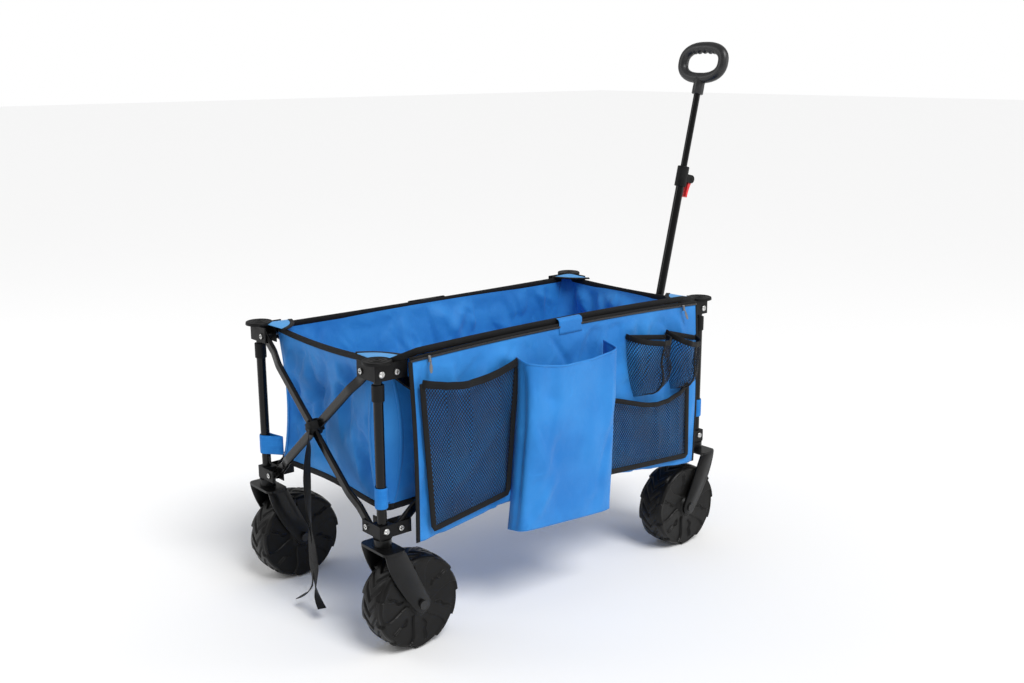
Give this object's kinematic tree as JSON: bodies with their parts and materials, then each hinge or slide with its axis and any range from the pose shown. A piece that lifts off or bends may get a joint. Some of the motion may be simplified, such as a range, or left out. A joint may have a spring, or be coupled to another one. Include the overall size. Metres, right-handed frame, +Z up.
{
  "type": "folding wagon",
  "caption": "Folding beach wagon with a scissor frame, a blue fabric tub, an organiser panel, four wide wheels and a telescoping pull handle.",
  "frame": {"origin": "on the ground, midway between the four posts", "axes": "+X forwards, towards the handle; +Y to the left; +Z up"},
  "size_m": [1.1833, 0.5635, 1.1484],
  "materials": {
    "frame_tube": "gloss black powder coat",
    "frame_bar": "satin black powder coat",
    "fork_steel": "satin black powder coat",
    "zinc_bolt": "zinc plated",
    "bracket_nylon": "matte black moulded nylon",
    "wheel_plastic": "matte black moulded plastic",
    "tub_fabric": "azure blue polyester, coated",
    "floor_fabric": "azure blue polyester, coated",
    "webbing": "black polypropylene webbing",
    "handle_tube": "gloss black powder coat",
    "grip_plastic": "semi-gloss dark grey moulded plastic",
    "lever_red": "red moulded plastic"
  },
  "bodies": {
    "lower_rear_right": {"lower_bracket_rear_right": "bracket_nylon", "post_rear_right": "frame_tube", "fork_rear_right": "fork_steel", "axle_rear_right": "zinc_bolt"},
    "lower_rear_left": {"lower_bracket_rear_left": "bracket_nylon", "post_rear_left": "frame_tube", "fork_rear_left": "fork_steel", "axle_rear_left": "zinc_bolt"},
    "lower_front_right": {"lower_bracket_front_right": "bracket_nylon", "post_front_right": "frame_tube"},
    "caster_front_right": {"fork_front_right": "fork_steel", "axle_front_right": "zinc_bolt"},
    "lower_front_left": {"lower_bracket_front_left": "bracket_nylon", "post_front_left": "frame_tube"},
    "caster_front_left": {"fork_front_left": "fork_steel", "axle_front_left": "zinc_bolt"},
    "upper_rear_right": {"upper_bracket_rear_right": "bracket_nylon", "inner_tube_rear_right": "frame_tube", "tub_rear_wall": "tub_fabric", "tub_right_wall": "tub_fabric", "tub_floor_rear": "floor_fabric", "organiser_panel": "tub_fabric"},
    "wheel_rear_right": {"wheel_rear_right": "wheel_plastic"},
    "upper_rear_left": {"upper_bracket_rear_left": "bracket_nylon", "inner_tube_rear_left": "frame_tube", "tub_left_wall": "tub_fabric"},
    "wheel_rear_left": {"wheel_rear_left": "wheel_plastic"},
    "upper_front_right": {"upper_bracket_front_right": "bracket_nylon", "inner_tube_front_right": "frame_tube", "tub_front_wall": "tub_fabric", "tub_floor_front": "floor_fabric"},
    "wheel_front_right": {"wheel_front_right": "wheel_plastic"},
    "upper_front_left": {"upper_bracket_front_left": "bracket_nylon", "inner_tube_front_left": "frame_tube"},
    "wheel_front_left": {"wheel_front_left": "wheel_plastic"},
    "rear_bar_outer": {"rear_bar_outer": "frame_bar"},
    "rear_bar_inner": {"rear_bar_inner": "frame_bar"},
    "front_bar_outer": {"front_bar_outer": "frame_bar"},
    "front_bar_inner": {"front_bar_inner": "frame_bar"},
    "right_rear_bar_outer": {"right_rear_bar_outer": "frame_bar"},
    "right_rear_bar_inner": {"right_rear_bar_inner": "frame_bar"},
    "right_front_bar_outer": {"right_front_bar_outer": "frame_bar"},
    "right_front_bar_inner": {"right_front_bar_inner": "frame_bar"},
    "right_middle_upper": {"right_middle_bracket_upper": "bracket_nylon", "tub_floor_middle": "floor_fabric"},
    "right_middle_lower": {"right_middle_bracket_lower": "bracket_nylon"},
    "left_rear_bar_outer": {"left_rear_bar_outer": "frame_bar"},
    "left_rear_bar_inner": {"left_rear_bar_inner": "frame_bar"},
    "left_front_bar_outer": {"left_front_bar_outer": "frame_bar"},
    "left_front_bar_inner": {"left_front_bar_inner": "frame_bar"},
    "left_middle_upper": {"left_middle_bracket_upper": "bracket_nylon"},
    "left_middle_lower": {"left_middle_bracket_lower": "bracket_nylon"},
    "strap_hub": {"fold_strap": "webbing"},
    "handle_mount": {"handle_bracket": "fork_steel", "handle_pin": "zinc_bolt"},
    "handle_lower": {"handle_lower_tube": "handle_tube", "handle_clamp": "grip_plastic"},
    "handle_upper": {"handle_upper_tube": "handle_tube", "handle_grip": "grip_plastic"},
    "clamp_lever": {"clamp_lever": "lever_red"}
  },
  "joints": [
    {"name": "fold", "type": "hinge", "parent": "lower_rear_right", "child": "rear_bar_outer", "pos_m": [-0.442, -0.185, 0.25], "axis": [1, 0, 0], "range_deg": [0, 34.5], "deforming": ["tub_right_wall", "tub_left_wall", "organiser_panel", "tub_rear_wall", "tub_front_wall", "tub_floor_rear", "tub_floor_middle", "tub_floor_front"]},
    {"name": "rear_left_upper_pin", "type": "hinge", "parent": "rear_bar_outer", "child": "upper_rear_left", "pos_m": [-0.442, 0.185, 0.554], "axis": [1, 0, 0], "range_deg": [-34.5, 0]},
    {"name": "rear_cross_pin", "type": "hinge", "parent": "rear_bar_outer", "child": "rear_bar_inner", "pos_m": [-0.442, 0, 0.402], "axis": [1, 0, 0], "range_deg": [-69, 0]},
    {"name": "rear_right_upper_pin", "type": "hinge", "parent": "rear_bar_inner", "child": "upper_rear_right", "pos_m": [-0.442, -0.185, 0.554], "axis": [1, 0, 0], "range_deg": [0, 34.5]},
    {"name": "rear_left_lower_pin", "type": "hinge", "parent": "rear_bar_inner", "child": "lower_rear_left", "pos_m": [-0.442, 0.185, 0.25], "axis": [1, 0, 0], "range_deg": [0, 34.5]},
    {"name": "strap_hub_pin", "type": "hinge", "parent": "rear_bar_outer", "child": "strap_hub", "pos_m": [-0.442, 0, 0.402], "axis": [1, 0, 0], "range_deg": [-34.5, 0]},
    {"name": "right_rear_lower_pin", "type": "hinge", "parent": "lower_rear_right", "child": "right_rear_bar_outer", "pos_m": [-0.409, -0.218, 0.25], "axis": [0, -1, 0], "range_deg": [0, 34.5]},
    {"name": "right_middle_upper_pin", "type": "hinge", "parent": "right_rear_bar_outer", "child": "right_middle_upper", "pos_m": [-0.039, -0.218, 0.554], "axis": [0, -1, 0], "range_deg": [-34.5, 0]},
    {"name": "right_rear_cross_pin", "type": "hinge", "parent": "right_rear_bar_outer", "child": "right_rear_bar_inner", "pos_m": [-0.224, -0.218, 0.402], "axis": [0, -1, 0], "range_deg": [-69, 0]},
    {"name": "right_middle_lower_pin", "type": "hinge", "parent": "right_rear_bar_inner", "child": "right_middle_lower", "pos_m": [-0.039, -0.218, 0.25], "axis": [0, -1, 0], "range_deg": [0, 34.5]},
    {"name": "right_middle_front_pin", "type": "hinge", "parent": "right_middle_lower", "child": "right_front_bar_outer", "pos_m": [0.039, -0.218, 0.25], "axis": [0, -1, 0], "range_deg": [0, 34.5]},
    {"name": "right_front_upper_pin", "type": "hinge", "parent": "right_front_bar_outer", "child": "upper_front_right", "pos_m": [0.409, -0.218, 0.554], "axis": [0, -1, 0], "range_deg": [-34.5, 0]},
    {"name": "right_front_cross_pin", "type": "hinge", "parent": "right_front_bar_outer", "child": "right_front_bar_inner", "pos_m": [0.224, -0.218, 0.402], "axis": [0, -1, 0], "range_deg": [-69, 0]},
    {"name": "right_front_lower_pin", "type": "hinge", "parent": "right_front_bar_inner", "child": "lower_front_right", "pos_m": [0.409, -0.218, 0.25], "axis": [0, -1, 0], "range_deg": [0, 34.5]},
    {"name": "left_rear_lower_pin", "type": "hinge", "parent": "lower_rear_left", "child": "left_rear_bar_outer", "pos_m": [-0.409, 0.218, 0.25], "axis": [0, -1, 0], "range_deg": [0, 34.5]},
    {"name": "left_middle_upper_pin", "type": "hinge", "parent": "left_rear_bar_outer", "child": "left_middle_upper", "pos_m": [-0.039, 0.218, 0.554], "axis": [0, -1, 0], "range_deg": [-34.5, 0]},
    {"name": "left_rear_cross_pin", "type": "hinge", "parent": "left_rear_bar_outer", "child": "left_rear_bar_inner", "pos_m": [-0.224, 0.218, 0.402], "axis": [0, -1, 0], "range_deg": [-69, 0]},
    {"name": "left_middle_lower_pin", "type": "hinge", "parent": "left_rear_bar_inner", "child": "left_middle_lower", "pos_m": [-0.039, 0.218, 0.25], "axis": [0, -1, 0], "range_deg": [0, 34.5]},
    {"name": "left_middle_front_pin", "type": "hinge", "parent": "left_middle_lower", "child": "left_front_bar_outer", "pos_m": [0.039, 0.218, 0.25], "axis": [0, -1, 0], "range_deg": [0, 34.5]},
    {"name": "left_front_upper_pin", "type": "hinge", "parent": "left_front_bar_outer", "child": "upper_front_left", "pos_m": [0.409, 0.218, 0.554], "axis": [0, -1, 0], "range_deg": [-34.5, 0]},
    {"name": "left_front_cross_pin", "type": "hinge", "parent": "left_front_bar_outer", "child": "left_front_bar_inner", "pos_m": [0.224, 0.218, 0.402], "axis": [0, -1, 0], "range_deg": [-69, 0]},
    {"name": "left_front_lower_pin", "type": "hinge", "parent": "left_front_bar_inner", "child": "lower_front_left", "pos_m": [0.409, 0.218, 0.25], "axis": [0, -1, 0], "range_deg": [0, 34.5]},
    {"name": "front_lower_pin", "type": "hinge", "parent": "lower_front_right", "child": "front_bar_outer", "pos_m": [0.442, -0.185, 0.25], "axis": [1, 0, 0], "range_deg": [0, 34.5]},
    {"name": "front_cross_pin", "type": "hinge", "parent": "front_bar_outer", "child": "front_bar_inner", "pos_m": [0.442, 0, 0.402], "axis": [1, 0, 0], "range_deg": [-69, 0]},
    {"name": "handle_mount_pin", "type": "hinge", "parent": "front_bar_outer", "child": "handle_mount", "pos_m": [0.442, 0, 0.402], "axis": [1, 0, 0], "range_deg": [-34.5, 0]},
    {"name": "handle_tilt", "type": "hinge", "parent": "handle_mount", "child": "handle_lower", "pos_m": [0.512, 0, 0.385], "axis": [0, 1, 0], "range_deg": [-13.5, 90]},
    {"name": "handle_slide", "type": "slide", "parent": "handle_lower", "child": "handle_upper", "axis": [0.2334, 0, 0.9724], "range_m": [-0.16, 0]},
    {"name": "clamp_lever_flip", "type": "hinge", "parent": "handle_lower", "child": "clamp_lever", "pos_m": [0.6405, 0, 0.81745], "axis": [0, -1, 0], "range_deg": [0, 75]},
    {"name": "caster_swivel_right", "type": "hinge", "parent": "lower_front_right", "child": "caster_front_right", "pos_m": [0.442, -0.218, 0.2], "axis": [0, 0, 1], "continuous": true},
    {"name": "wheel_spin_front_right", "type": "hinge", "parent": "caster_front_right", "child": "wheel_front_right", "pos_m": [0.383, -0.218, 0.095], "axis": [0, 1, 0], "continuous": true},
    {"name": "wheel_spin_rear_right", "type": "hinge", "parent": "lower_rear_right", "child": "wheel_rear_right", "pos_m": [-0.383, -0.218, 0.095], "axis": [0, 1, 0], "continuous": true},
    {"name": "caster_swivel_left", "type": "hinge", "parent": "lower_front_left", "child": "caster_front_left", "pos_m": [0.442, 0.218, 0.2], "axis": [0, 0, 1], "continuous": true},
    {"name": "wheel_spin_front_left", "type": "hinge", "parent": "caster_front_left", "child": "wheel_front_left", "pos_m": [0.383, 0.218, 0.095], "axis": [0, 1, 0], "continuous": true},
    {"name": "wheel_spin_rear_left", "type": "hinge", "parent": "lower_rear_left", "child": "wheel_rear_left", "pos_m": [-0.383, 0.218, 0.095], "axis": [0, 1, 0], "continuous": true}
  ],
  "couplings": [
    {"joint": "rear_left_upper_pin", "follows": "fold", "ratio": -1},
    {"joint": "rear_cross_pin", "follows": "fold", "ratio": -2},
    {"joint": "rear_right_upper_pin", "follows": "fold", "ratio": 1},
    {"joint": "rear_left_lower_pin", "follows": "fold", "ratio": 1},
    {"joint": "strap_hub_pin", "follows": "fold", "ratio": -1},
    {"joint": "right_rear_lower_pin", "follows": "fold", "ratio": 1},
    {"joint": "right_middle_upper_pin", "follows": "fold", "ratio": -1},
    {"joint": "right_rear_cross_pin", "follows": "fold", "ratio": -2},
    {"joint": "right_middle_lower_pin", "follows": "fold", "ratio": 1},
    {"joint": "right_middle_front_pin", "follows": "fold", "ratio": 1},
    {"joint": "right_front_upper_pin", "follows": "fold", "ratio": -1},
    {"joint": "right_front_cross_pin", "follows": "fold", "ratio": -2},
    {"joint": "right_front_lower_pin", "follows": "fold", "ratio": 1},
    {"joint": "left_rear_lower_pin", "follows": "fold", "ratio": 1},
    {"joint": "left_middle_upper_pin", "follows": "fold", "ratio": -1},
    {"joint": "left_rear_cross_pin", "follows": "fold", "ratio": -2},
    {"joint": "left_middle_lower_pin", "follows": "fold", "ratio": 1},
    {"joint": "left_middle_front_pin", "follows": "fold", "ratio": 1},
    {"joint": "left_front_upper_pin", "follows": "fold", "ratio": -1},
    {"joint": "left_front_cross_pin", "follows": "fold", "ratio": -2},
    {"joint": "left_front_lower_pin", "follows": "fold", "ratio": 1},
    {"joint": "front_lower_pin", "follows": "fold", "ratio": 1},
    {"joint": "front_cross_pin", "follows": "fold", "ratio": -2},
    {"joint": "handle_mount_pin", "follows": "fold", "ratio": -1}
  ]
}
